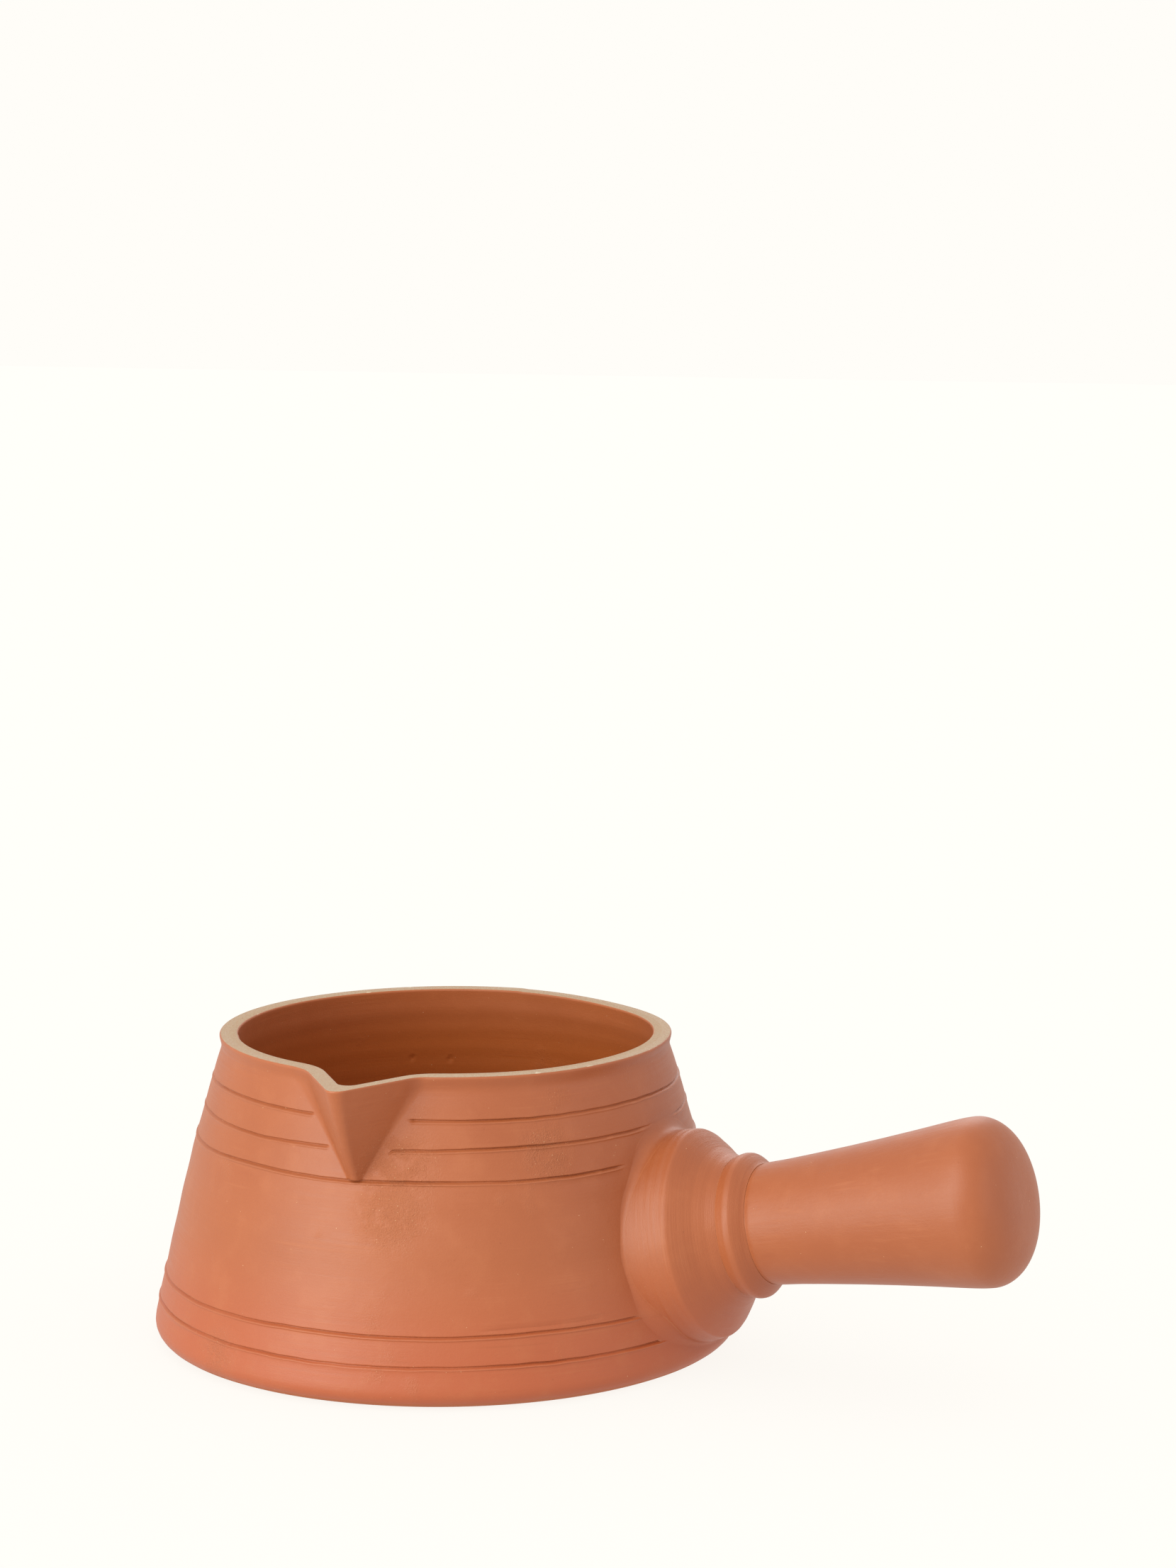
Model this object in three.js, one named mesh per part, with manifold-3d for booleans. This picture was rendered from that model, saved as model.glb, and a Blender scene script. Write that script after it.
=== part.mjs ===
// Terracotta side-handle pitcher: a low thrown bowl with a folded beak at the rim and a hollow
// handle set on its wall.
// Millimetres, +Z up. The origin is the centre of the flat base, +X is the handle's direction seen
// from above, and the beak points towards -Y.
//
// The pot is made of clay pieces that were shaped apart and luted together while leather-hard, so
// each is a solid of its own: the thrown body with a V-shaped notch in its rim, the folded beak
// that stands in the notch, the slip seam between them, the bell that roots the handle, the coil
// of soft clay pressed round the bell, the neck ring, and the hollow grip with its tenon.

import * as THREE from 'three';
import { mergeVertices } from 'three/addons/utils/BufferGeometryUtils.js';
import { ConvexGeometry } from 'three/addons/geometries/ConvexGeometry.js';
import Module from 'manifold-3d';

const wasm = await Module();
wasm.setup();

// Driving dimensions.
const HEIGHT = 69;              // rim above the table
const RIM_RADIUS = 51;          // outside of the rim
const WALL = 4.3;               // thickness of the thrown wall
const FLOOR = 5;                // thickness of the floor
const FOOT_RADIUS = 66.2;       // widest part, just above the table
const GROOVE_DEPTH = 0.55;
const GROOVE_HALF = 0.45;       // half of a groove's width along the wall
const GROOVE_HEIGHTS = [9.4, 15.4, 47.0, 53.65, 59.7];
const GAP = 0.3;                // clearance kept between neighbouring clay pieces
const SLIP = 0.8;               // thickness of the slip seam beside the beak
const SLIP_STAND = 0.7;         // how far that seam stands off the wall

const BEAK_TURN = -82.5;        // beak's direction from +X, degrees
const BEAK_REACH = 69;          // radius of the beak's tip
const BEAK_TIP_RADIUS = 2.8;    // rounding of the tip, seen from above
const BEAK_TIP_SKEW = 0.4;      // tip's drift towards the handle
const BEAK_SPREAD = 17.6;       // half of the beak's width at the rim, degrees
const BEAK_APEX_HEIGHT = 46.9;  // the keel meets the wall at the third groove
const BEAK_LIP = 7.2;           // lip thickness along the beak's axis
const BEAK_ROOT = 30;           // how near the body's axis the solid wedge starts, before it is hollowed
const BEAK_STAND = 0.2;         // how far the keel's foot stands off the wall
const KEEL_HALF = 0.6;          // half of the keel's width where it meets the wall
const FLANK_LEAN = 35;          // the flanks' angle to the beak's axis, degrees

const HANDLE_TILT = 11.95;      // handle's rise from horizontal, degrees
const HANDLE_HEIGHT = 16;       // where the handle's axis crosses the body's axis
const BELL_BACK = 50;           // distances along the handle's axis from the body's axis
const BELL_FRONT = 76.2;
const RING_FRONT = 82.2;
const GRIP_END = 141.8;
const TENON_START = 70;
const TENON_RADIUS = 9.8;
const TENON_BORE = 6.5;         // radius of the hollow where the tenon ends
const BELL_DROP = 0.07;         // the bell sags by this share of the distance behind its front
const COIL_STEPS = [[1.3, 2.9], [2.2, 2.2], [3.0, 1.2]];  // [reach from the bell, stand off the wall]
const VENT_RADIUS = 1.1;        // small hole under the bell that lets steam out in the kiln
const VENT_AT = 66.5;
const OVERCUT = 5;              // how far cutting solids run past what they cut

const AROUND_BODY = 60;         // segments of each lathe
const AROUND_HANDLE = 36;
const CLAY = 0xc06a48;
const CLAY_DARK = 0xa85a3c;

// Radius of the body's outside at a height, between the points that shape it.
const OUTSIDE = [
  [0, 62.2], [1, 65.4], [3.6, FOOT_RADIUS], [8, 65.5], [9.4, 64.95], [15.4, 63.75], [32.3, 59.95],
  [47.0, 55.9], [53.65, 54.15], [59.7, 52.3], [64, 51.1], [66.8, 50.5], [68.2, RIM_RADIUS],
  [HEIGHT, RIM_RADIUS - 0.1],
];

function outsideRadius(height) {
  const above = Math.max(1, OUTSIDE.findIndex(([z]) => z >= height));
  const [z0, r0] = OUTSIDE[above - 1];
  const [z1, r1] = OUTSIDE[above];
  return r0 + (r1 - r0) * (height - z0) / (z1 - z0);
}

// ---- solids and meshes ----

function solidOf(geometry) {
  const bare = geometry.clone();
  bare.deleteAttribute('normal');
  bare.deleteAttribute('uv');
  const merged = mergeVertices(bare, 1e-4);
  const index = merged.index.array;
  const corners = [];
  for (let i = 0; i < index.length; i += 3) {
    const [a, b, c] = [index[i], index[i + 1], index[i + 2]];
    if (a !== b && b !== c && c !== a) corners.push(a, b, c);
  }
  const mesh = new wasm.Mesh({
    numProp: 3,
    vertProperties: new Float32Array(merged.attributes.position.array),
    triVerts: new Uint32Array(corners),
  });
  return new wasm.Manifold(mesh);
}

function meshOf(solid, name, colour) {
  const { vertProperties, triVerts } = solid.getMesh();
  const geometry = new THREE.BufferGeometry();
  geometry.setAttribute('position', new THREE.BufferAttribute(vertProperties, 3));
  geometry.setIndex(new THREE.BufferAttribute(triVerts, 1));
  geometry.computeVertexNormals();
  const material = new THREE.MeshStandardMaterial({ color: colour, roughness: 0.6, metalness: 0 });
  const mesh = new THREE.Mesh(geometry, material);
  mesh.name = name;
  return mesh;
}

// A profile of [height, radius] turned about the vertical axis.
function turnedUpright(profile, segments) {
  const points = profile.map(([z, r]) => new THREE.Vector2(r, z));
  return new THREE.LatheGeometry(points, segments).rotateX(Math.PI / 2);
}

// A profile of [distance, radius] turned about the handle's axis.
function turnedOnHandle(profile, segments = AROUND_HANDLE) {
  const points = profile.map(([s, r]) => new THREE.Vector2(r, s));
  return new THREE.LatheGeometry(points, segments).rotateZ(-Math.PI / 2);
}

function placeOnHandle(geometry) {
  return geometry
    .rotateY(-THREE.MathUtils.degToRad(HANDLE_TILT))
    .translate(0, 0, HANDLE_HEIGHT);
}

// The body's outside as a full solid, grown by a margin, from the base to above the rim.
function bodyEnvelope(margin) {
  const profile = OUTSIDE.map(([z, r]) => [z, r + margin]);
  const [below, above] = [-OVERCUT, HEIGHT + OVERCUT];
  const closed = [[below, 0], [below, profile[0][1]], ...profile, [above, profile.at(-1)[1]]];
  return solidOf(turnedUpright([...closed, [above, 0]], AROUND_BODY));
}

// The space inside the bowl, open to above the rim.
function bowlSpace() {
  const mouth = RIM_RADIUS - WALL;
  const profile = [
    [FLOOR, 0], [FLOOR, 52], [6.2, 56], [8.6, 58.8], [12.5, 59.6], [32.3, 55.4], [53.65, 49.7],
    [64, mouth + 0.3], [HEIGHT, mouth], [HEIGHT + OVERCUT, mouth], [HEIGHT + OVERCUT, 0],
  ];
  return solidOf(turnedUpright(profile, AROUND_BODY));
}

// ---- thrown body ----

function bowl() {
  const grooves = GROOVE_HEIGHTS.flatMap((z) => [
    [z - GROOVE_HALF, outsideRadius(z - GROOVE_HALF)],
    [z, outsideRadius(z) - GROOVE_DEPTH],
    [z + GROOVE_HALF, outsideRadius(z + GROOVE_HALF)],
  ]);
  const plain = OUTSIDE.filter(([z]) => !GROOVE_HEIGHTS.includes(z));
  const outside = [...plain, ...grooves].sort((a, b) => a[0] - b[0]);
  const full = solidOf(turnedUpright([[0, 0], ...outside, [HEIGHT, 0]], AROUND_BODY));
  return full.subtract(bowlSpace());
}

// ---- beak ----

// The beak as a full wedge: a rounded tip at the rim's height, flanks that run back through the
// rim, and a keel that falls to the wall. back draws it inwards along its axis, grow widens it to
// both sides and downwards, and top is the height where it is cut off.
function beakWedge({ back = 0, grow = 0, top = HEIGHT }) {
  const spread = THREE.MathUtils.degToRad(BEAK_SPREAD);
  const apexRadius = outsideRadius(BEAK_APEX_HEIGHT) + BEAK_STAND;
  const apexHeight = BEAK_APEX_HEIGHT - grow;
  const tipCentre = BEAK_REACH - BEAK_TIP_RADIUS;
  const tipRadius = BEAK_TIP_RADIUS + grow;
  const points = [];
  const add = (along, across, z) => points.push(new THREE.Vector3(along - back, across, z));
  for (const z of [HEIGHT, top]) {
    for (const side of [-1, 1]) {
      const across = side * (RIM_RADIUS * Math.sin(spread) + grow);
      add(RIM_RADIUS * Math.cos(spread), across, z);
      add(BEAK_ROOT, 0.9 * across, z);
    }
    for (const angle of [-57, -28, 0, 28, 57].map(THREE.MathUtils.degToRad)) {
      const across = BEAK_TIP_SKEW + tipRadius * Math.sin(angle);
      add(tipCentre + tipRadius * Math.cos(angle), across, z);
    }
  }
  for (const side of [-1, 1]) {
    add(apexRadius, side * (KEEL_HALF + grow), apexHeight);
    add(BEAK_ROOT, side * (KEEL_HALF + grow), apexHeight);
  }
  const wedge = new ConvexGeometry(points);
  return solidOf(wedge.rotateZ(THREE.MathUtils.degToRad(BEAK_TURN)));
}

const ABOVE_RIM = HEIGHT + OVERCUT;
const ACROSS_FLANK = 1 / Math.cos(THREE.MathUtils.degToRad(FLANK_LEAN));
const SIDE_GAP = GAP * ACROSS_FLANK;
const SIDE_SLIP = SLIP * ACROSS_FLANK;

function thrownBody() {
  const notch = beakWedge({ grow: 2 * SIDE_GAP + SIDE_SLIP, top: ABOVE_RIM });
  return bowl().subtract(notch);
}

function pouringBeak() {
  const trough = beakWedge({ back: BEAK_LIP, top: ABOVE_RIM });
  return beakWedge({}).subtract(trough).subtract(bowlSpace());
}

// The slip between the beak and the notch, standing a little proud of the wall.
function beakLutingSeam() {
  const outer = beakWedge({ grow: SIDE_GAP + SIDE_SLIP });
  const inner = beakWedge({ grow: SIDE_GAP, top: ABOVE_RIM });
  const wall = bodyEnvelope(SLIP_STAND).subtract(bowlSpace());
  return outer.subtract(inner).intersect(wall);
}

// ---- handle ----

// Outside of the bell, [distance, radius]: a short barrel against the wall, then a cone.
const BELL_OUTSIDE = [
  [BELL_BACK, 24.2], [57, 23.9], [63, 23.4], [68, 22.6], [69.4, 21.7], [71.6, 19.1], [73.6, 16.9],
  [75.2, 15.7], [BELL_FRONT, 15.2],
];

// Turns the bell's outside, grown by a margin, and lets it sag the more, the nearer the wall it is.
function bellEnvelope(margin) {
  const profile = BELL_OUTSIDE.map(([s, r]) => [s, r + margin]);
  const turned = turnedOnHandle([[BELL_BACK, 0], ...profile, [BELL_FRONT, 0]]);
  const shear = new THREE.Matrix4().makeShear(0, BELL_DROP, 0, 0, 0, 0);
  turned.translate(-BELL_FRONT, 0, 0).applyMatrix4(shear).translate(BELL_FRONT, 0, 0);
  return solidOf(placeOnHandle(turned));
}

function handleBell() {
  const boreRadius = TENON_RADIUS + GAP;
  const [back, front] = [BELL_BACK - OVERCUT, BELL_FRONT + OVERCUT];
  const bore = [[back, 0], [back, boreRadius], [front, boreRadius], [front, 0]];
  const drillLength = 2 * boreRadius;
  const drill = new THREE.CylinderGeometry(VENT_RADIUS, VENT_RADIUS, drillLength, 16)
    .rotateX(Math.PI / 2)
    .translate(VENT_AT, 0, OVERCUT / 2 - boreRadius - drillLength / 2);
  return bellEnvelope(0)
    .subtract(solidOf(placeOnHandle(turnedOnHandle(bore))))
    .subtract(solidOf(placeOnHandle(drill)))
    .subtract(bodyEnvelope(GAP));
}

// A coil of soft clay pressed into the corner between the bell and the wall, rounded off in steps.
function handleLutingCoil() {
  const steps = COIL_STEPS.map(([reach, stand]) =>
    bellEnvelope(reach).intersect(bodyEnvelope(stand)));
  return steps
    .reduce((coil, step) => coil.add(step))
    .subtract(bellEnvelope(GAP))
    .subtract(bodyEnvelope(GAP));
}

function neckRing() {
  const [back, front] = [BELL_FRONT + GAP, RING_FRONT];
  const bore = TENON_RADIUS + GAP;
  const profile = [
    [back, bore], [back, 15.1], [77.4, 15.5], [78.8, 15.75], [80.2, 15.5], [81.4, 14.8],
    [front, 13.9], [front, bore], [back, bore],
  ];
  return solidOf(turnedOnHandle(profile));
}

// The grip and its tenon: the outside from the tenon's end to the closed end, then the hollow back.
function handleGrip() {
  const shoulder = RING_FRONT + GAP;
  const profile = [
    [TENON_START, TENON_BORE], [TENON_START, TENON_RADIUS], [shoulder, TENON_RADIUS],
    [shoulder, 13.35], [88, 13.6], [94.5, 14.1], [103, 14.9], [111.5, 15.8], [120, 16.8],
    [127, 17.7], [131, 18.2], [133.5, 18.15], [136, 17.3], [138.3, 15.4], [140, 12.6],
    [141.2, 8.8], [GRIP_END, 4], [GRIP_END, 0],
    [136.8, 0], [136, 4.5], [133, 8.6], [128, 10.2], [111, 9.6], [90, 8.2], [82, TENON_BORE],
    [TENON_START, TENON_BORE],
  ];
  return solidOf(turnedOnHandle(profile));
}

// ---- assembly ----

const pitcher = new THREE.Group();
const handle = new THREE.Group();
handle.rotation.y = -THREE.MathUtils.degToRad(HANDLE_TILT);
handle.position.z = HANDLE_HEIGHT;
handle.add(
  meshOf(neckRing(), 'neck_ring', CLAY),
  meshOf(handleGrip(), 'handle_grip', CLAY),
);
pitcher.add(
  meshOf(thrownBody(), 'thrown_body', CLAY),
  meshOf(pouringBeak(), 'pouring_beak', CLAY),
  meshOf(beakLutingSeam(), 'beak_luting_seam', CLAY_DARK),
  meshOf(handleBell(), 'handle_bell', CLAY),
  meshOf(handleLutingCoil(), 'handle_luting_coil', CLAY_DARK),
  handle,
);

export default pitcher;
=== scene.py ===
"""Looks of the terracotta side-handle pitcher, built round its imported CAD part.

Every CAD node is replaced by a finer piece in the same place. The bowl and its beak are one
surface in space, cut into pieces where the clay was joined, and the handle's pieces are turned
about the handle's axis, which rises from the bowl's wall.
"""

import math

import bpy
import numpy as np
from mathutils import Matrix, Vector


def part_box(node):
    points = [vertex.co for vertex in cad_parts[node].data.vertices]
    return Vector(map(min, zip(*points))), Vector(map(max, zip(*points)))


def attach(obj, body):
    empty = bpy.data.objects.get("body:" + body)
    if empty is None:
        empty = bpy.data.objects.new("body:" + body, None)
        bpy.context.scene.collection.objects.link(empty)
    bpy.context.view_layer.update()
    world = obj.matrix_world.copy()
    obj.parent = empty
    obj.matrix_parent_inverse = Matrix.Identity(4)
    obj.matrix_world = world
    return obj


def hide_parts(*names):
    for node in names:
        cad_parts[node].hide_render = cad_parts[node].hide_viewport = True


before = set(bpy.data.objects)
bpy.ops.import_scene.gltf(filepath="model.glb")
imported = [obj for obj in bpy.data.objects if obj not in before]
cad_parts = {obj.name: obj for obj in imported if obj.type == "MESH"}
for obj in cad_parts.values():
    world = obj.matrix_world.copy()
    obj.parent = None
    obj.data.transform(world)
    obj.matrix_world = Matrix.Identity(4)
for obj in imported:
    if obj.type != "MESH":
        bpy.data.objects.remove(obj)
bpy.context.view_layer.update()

MM = 0.001

# ---- sizes, in millimetres; angles are in degrees unless they are turned into radians ----

body_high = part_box("thrown_body")[1] / MM

HEIGHT = body_high.z                     # rim above the table
FOOT_RADIUS = body_high.x                # widest part, just above the table
RIM_RADIUS = 0.77 * FOOT_RADIUS          # outside of the rim
WALL = 4.2                               # thickness of the wall at the rim
FLOOR = 5.0                              # and of the floor
WALL_LEAN = 0.243                        # how fast the wall leans in, per unit of height
LEAN_AT = 30.0                           # height where the leaning line is set on the wall
FOOT_ROUND = 3.6                         # height of the rounding under the foot
FOOT_INSET = 4.4                         # how far in the base starts
LIP_ROUND = 0.5                          # rounding of the rim's two edges
CORNER_ROUND = 7.5                       # rounding between wall and floor inside

WALL_WOBBLE = 0.05                       # unevenness of the wall outside
INSIDE_WOBBLE = 0.12                     # and inside
RIPPLE_DEPTH = 0.03                      # throwing ripple inside
RIPPLE_RATE = 1.3                        # its radians per millimetre of height
BAND_DEPTH = 0.036                       # slow swelling of the wall outside
BAND_RATE = 0.55                         # its radians per millimetre of height

GROOVES = [9.4, 15.4, 47.0, 53.65, 59.7]   # heights of the incised lines
GROOVE_LIPS = [0.6, 0.65, 0.6, 0.45, 0.4]  # how far each one's lower lip stands out, of its depth
GROOVE_DEPTH = 0.42
GROOVE_UNEVEN = 0.25                     # how much that depth varies
GROOVE_ABOVE = 0.16                      # width of a line's steep upper side
GROOVE_BELOW = 0.3                       # and of its open lower side
LIP_DROP = 0.52                          # how far under a line its lip stands
LIP_WIDTH = 0.24                         # and how broad it is
LINE_WANDER = 0.28                       # slow wandering of a line up and down
LINE_TREMBLE = 0.06                      # and the hand's quick trembling
BURR_RARITY = 1.4                        # wobble from which a burr stands up
BURR_RISE = 0.42                         # how far above a line its burrs sit
BURR_WIDTH = 0.2
BURR_SHARE = 0.35                        # height of a burr, of the line's depth
HOOK_DROP = 0.9                          # how far the fourth line turns down where it starts
HOOKED_BELOW = 55.0                      # of the lines beside the beak, those lower than this do so
HOOK_LAG = 0.5                           # how much nearer to the beak such a line starts
WIPED_BESIDE_BEAK = 0.4                  # how far from the flanks the lines are wiped away
WIPED_OVER = (0.9, 1.4)                  # over how far they set in again, left and right of the beak
DUG_IN = (2.0, 0.4, 0.5)                 # where the tool dug in first: place, spread, extra depth
SCRATCH = (16.5, 26, 53)                 # a second, shallow line: its height, and from where to where
SCRATCH_FADES = (6, 0.8)                 # over how far its start and its end fade
SCRATCH_DEPTH = 0.22
SCRATCH_SLANT = 0.5                      # how far it climbs
SCRATCH_TREMBLE = 0.05
WIPED_ROUND_BELL = (25.5, 2.5)           # where lines start again off the handle's axis, over how far

RIM_DIPS = [(45, 22, 0.25), (146, 26, 0.6)]  # degrees from the beak, spread, depth
RIM_WOBBLE = 0.05
RIM_UNEVEN_FROM = (58, 10)               # height where the dips set in, and over how far

CRUMB = (62, 66.6)                       # a bit of clay inside: degrees left of the beak, height
CRUMB_SIZE = (2.2, 1.6, 0.8)             # its width in degrees, height and thickness
PITS = [(-149.6, 51.7), (-159.9, 51.2)]  # and two pits across from the beak
PIT_DEPTH = 0.25
PIT_RADIUS = 0.6
PIT_RIM = (1.2, 0.4, 0.03)               # radius, width and height of the clay pushed up round a pit
INSIDE_DEGREE = 0.87                     # length of one degree on the inside

BEAK_TURN = math.radians(-82.5)          # direction of the beak, seen from above, from +X
FLANKS = [math.radians(34.5), math.radians(28)]  # its left and right sides' angles to that direction
FLANK_BULGE = 0.5                        # fullness of the beak's right flank
BEAK_APEX = 47.0                         # height where its keel runs out on the third groove
# Each pair below is a value where the keel or the trough starts, and its value at the rim.
KEEL_RADIUS = (1.5, 2.6)                 # rounding of the keel
KEEL_REACH = (56.9, 68.6)                # distance from the bowl's axis
KEEL_SIDE = (0.6, 0.9)                   # how far it stands to the right of the beak's direction
KEEL_FULLNESS = 0.3                      # 0 makes the keel straight
LEFT_BLEND = (0.8, 3.6)                  # softness of the corners between flanks and wall
RIGHT_BLEND = (0.6, 2.2)
KEEL_UNDERCUT = 8.0                      # slope with which the keel runs back into the wall
TROUGH_FOOT = 50.5                       # height where the trough starts inside
TROUGH_RADIUS = (1.6, 2.6)               # rounding of its bottom
TROUGH_REACH = (50.3, 61.9)              # that bottom's distance from the bowl's axis
TROUGH_SIDE = (1.5, 1.0)
TROUGH_BLEND = 4.0                       # softness of the corners between trough and wall
TROUGH_UNDERCUT = 3.0                    # slope with which it runs out into the wall

HANDLE_TILT = math.radians(11.95)        # rise of the handle's axis
HANDLE_HEIGHT = 16.0                     # where that axis crosses the bowl's axis
BELL_FRONT = 76.2                        # distances along the handle's axis
RING_FRONT = 82.2
GRIP_END = 141.8
BELL_CREASE = 66.0                       # where the barrel turns into the cone
CREASE_REACH = 5.0                       # how far the hand's pressing spreads from there
HAND_WAVES = [(0.35, 2, 0.6), (0.25, 4, 1.0)]  # height, waves round the bell, where they start
CREASE_WANDER = 0.35                     # slow wandering of the crease along the bell
CREASE_TREMBLE = 0.08
CREASE_RIPPLE = 0.025                    # height of the turning marks near it
BELL_WOBBLE = 0.08                       # unevenness round the bell, the ring and the grip
RING_WOBBLE = 0.07
RING_LEAN = 0.08                         # how far the ring's crest wanders along the handle
GRIP_WOBBLE = 0.06
BELL_SAG = 0.07                          # how fast the bell sinks towards the wall
TENON_START = 70.0
TENON_RADIUS = 9.8
JOINT_DIP = (0.2, 0.7)                   # depth and width of the wear between ring and grip
CAP_START = 133.0                        # where the grip starts to round off
CAP_RADIUS = 18.2
CAP_POWERS = (0.65, 1.05)                # how square the rounded end is, across and along
END_DISC = 0.25                          # radius of the flat disc that closes the grip
COIL_WIDTH = 0.7                         # where it is narrowest, in front
COIL_UNEVEN = 0.12
COIL_WIDTHS = [(0.0, 0.75, 2.9), (2.2, 0.8, 2.4), (-2.25, 0.35, 2.6)]  # turn, spread, extra width
COIL_DEPTH = 1.2                         # how deep the coil reaches under the bell's skin
COIL_IN_WALL = 0.8                       # and into the wall
CLEAR = 0.02                             # gap between neighbouring pieces

# ---- fineness of the meshes ----

SEAM_TURN = 0.9                          # width of the slip seam, degrees
SEAM_ROWS = 4                            # height of the slip seam under the beak, rows
COLUMN_MARGIN = 1.2                      # how far the slip seam lies from the flanks, degrees
COLUMN_SPREAD = 10                       # and how much wider the columns are at the foot
COLUMN_COUNTS = [140, 90, 40, 30, 3, 100, 3, 30, 40, 100, 40]
SEAM_LEFT, BEAK_LEFT, BEAK_RIGHT, SEAM_RIGHT = np.cumsum(COLUMN_COUNTS)[[3, 4, 5, 6]]
FINE_ROW = 0.11                          # height of a row near a groove
COARSE_ROW = 0.6                         # and elsewhere on the wall
FINE_REACH = 1.3                         # how far from a groove the rows are fine
SHARED_FROM = BEAK_APEX - 1.5            # height above which the rows match, outside and inside
INSIDE_ROW = 1.6                         # height of a row inside, below the beak
BASE_RINGS = (1.0, 20.0, 40.0, 56.0)
FLOOR_RINGS = (40.0, 25.0, 10.0, 1.0)
HANDLE_SEGMENTS = 192


# ---- small numeric helpers ----

def between(ends, share):
    """A value that far along from the first of two ends to the second."""
    return ends[0] + (ends[1] - ends[0]) * share


def bump(distance, width):
    """A rounded bump: 1 at no distance, fading out over a width."""
    return np.exp(-(distance / width) ** 2)


def smooth_step(x):
    x = np.clip(x, 0.0, 1.0)
    return x * x * (3 - 2 * x)


def smooth_max(a, b, softness):
    """The larger of two values, rounded where they are about equal."""
    near = np.maximum(softness - np.abs(a - b), 0.0) / softness
    return np.maximum(a, b) + near * near * softness / 4


TYPICAL_SUM = 2.2                        # brings the sum of a wobble's waves mostly within 1


def wobble(angle, seed, waves):
    """Repeatable unevenness round a turn, mostly from -1 to 1, finer with more waves."""
    rng = np.random.default_rng(seed)
    total = 0.0
    for k in range(1, waves + 1):
        total = total + rng.normal() * np.sin(k * angle + rng.uniform(0, 2 * math.pi)) / k ** 0.5
    return total / TYPICAL_SUM


def soft_outline(points, softness):
    """A function through listed [position, value] points with its corners rounded."""
    at, value = np.array(points, float).T
    fine = np.arange(at[0] - 6 * softness, at[-1] + 6 * softness, softness / 6)
    line = np.interp(fine, at, value)
    line[fine < at[0]] += (fine[fine < at[0]] - at[0]) * (value[1] - value[0]) / (at[1] - at[0])
    over = fine > at[-1]
    line[over] += (fine[over] - at[-1]) * (value[-1] - value[-2]) / (at[-1] - at[-2])
    kernel = np.exp(-0.5 * (np.arange(-18, 19) / 6) ** 2)
    padded = np.pad(line, 18, mode="edge")
    line = np.convolve(padded, kernel / kernel.sum(), mode="valid")
    return lambda x: np.interp(x, fine, line)


# ---- the bowl's surface ----

outside_radius = soft_outline(
    [(2, 66.3), (4.5, 66.15), (9.4, 65.1), (32, 59.95), (43, 57.25), (57, 53.25), (62.5, 51.7),
     (65.9, 50.5), (67.2, 50.6), (68.2, RIM_RADIUS), (HEIGHT, RIM_RADIUS)], 0.45)
inside_radius = soft_outline(
    [(10, 59.6), (14, 59.4), (32, 55.5), (54, 49.9), (64, 47.4), (HEIGHT, RIM_RADIUS - WALL)], 1.2)

# Where the flanks leave the wall: degrees to the left and right of the beak's direction.
left_join = soft_outline([(BEAK_APEX, -0.3), (53.8, -6.0), (59.8, -11.2), (HEIGHT, -16.3)], 0.8)
right_join = soft_outline([(BEAK_APEX, 3.3), (53.8, 7.8), (59.8, 11.5), (HEIGHT, 14.8)], 0.8)


def handle_distance(points):
    """Distance of points from the handle's axis, and how far along it they are."""
    axis = np.array([math.cos(HANDLE_TILT), 0.0, math.sin(HANDLE_TILT)])
    offset = points - np.array([0.0, 0.0, HANDLE_HEIGHT])
    along = offset @ axis
    return np.linalg.norm(offset - along[..., None] * axis, axis=-1), along


def wedge_radius(angle, tip, tip_radius, flanks):
    """Distance from the bowl's axis to a wedge with a rounded tip, seen from above.

    angle is counted from the beak's direction. tip is the centre of the tip's rounding, [out,
    across], and flanks are the angles of the left and the right flank to the beak's direction.
    """
    direction = np.stack([np.cos(angle), np.sin(angle)], -1)
    along = (direction * tip).sum(-1)
    within = along ** 2 - (tip ** 2).sum(-1) + tip_radius ** 2
    radius = along + np.sqrt(np.maximum(within, 0.0))
    for side, flank in zip((-1, 1), flanks):
        facing = side * (math.pi / 2 - flank)
        normal = np.stack([np.cos(facing), np.sin(facing)], -1)
        touch = tip + tip_radius[..., None] * normal
        beyond = side * (angle - np.arctan2(touch[..., 1], touch[..., 0])) > 0
        straight = (touch * normal).sum(-1) / np.maximum((direction * normal).sum(-1), 0.05)
        radius = np.where(beyond, straight, radius)
    return np.where(np.abs(angle) < math.radians(45), radius, 0.0)


def incised(above_line):
    """Section of a line drawn with a pointed tool: steep above, open below."""
    width = np.where(above_line > 0, GROOVE_ABOVE, GROOVE_BELOW)
    return bump(above_line, width)


def wiped_away(middle, degrees):
    """How much of the line at a height is left beside the beak, and its drop where it is hooked."""
    past_left = left_join(middle) - degrees
    past_right = degrees - right_join(middle)
    hooked = middle < HOOKED_BELOW
    start = past_right + HOOK_LAG * hooked
    over_left, over_right = WIPED_OVER
    left = np.maximum(smooth_step((past_left - WIPED_BESIDE_BEAK) / over_left),
                      smooth_step((start - WIPED_BESIDE_BEAK) / over_right))
    place, spread, deeper = DUG_IN
    dug_in = deeper * bump(start - place, spread) * (1 - hooked)
    return left * (1 + dug_in), HOOK_DROP * bump(past_right + 0.1, 0.9) * hooked


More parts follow.
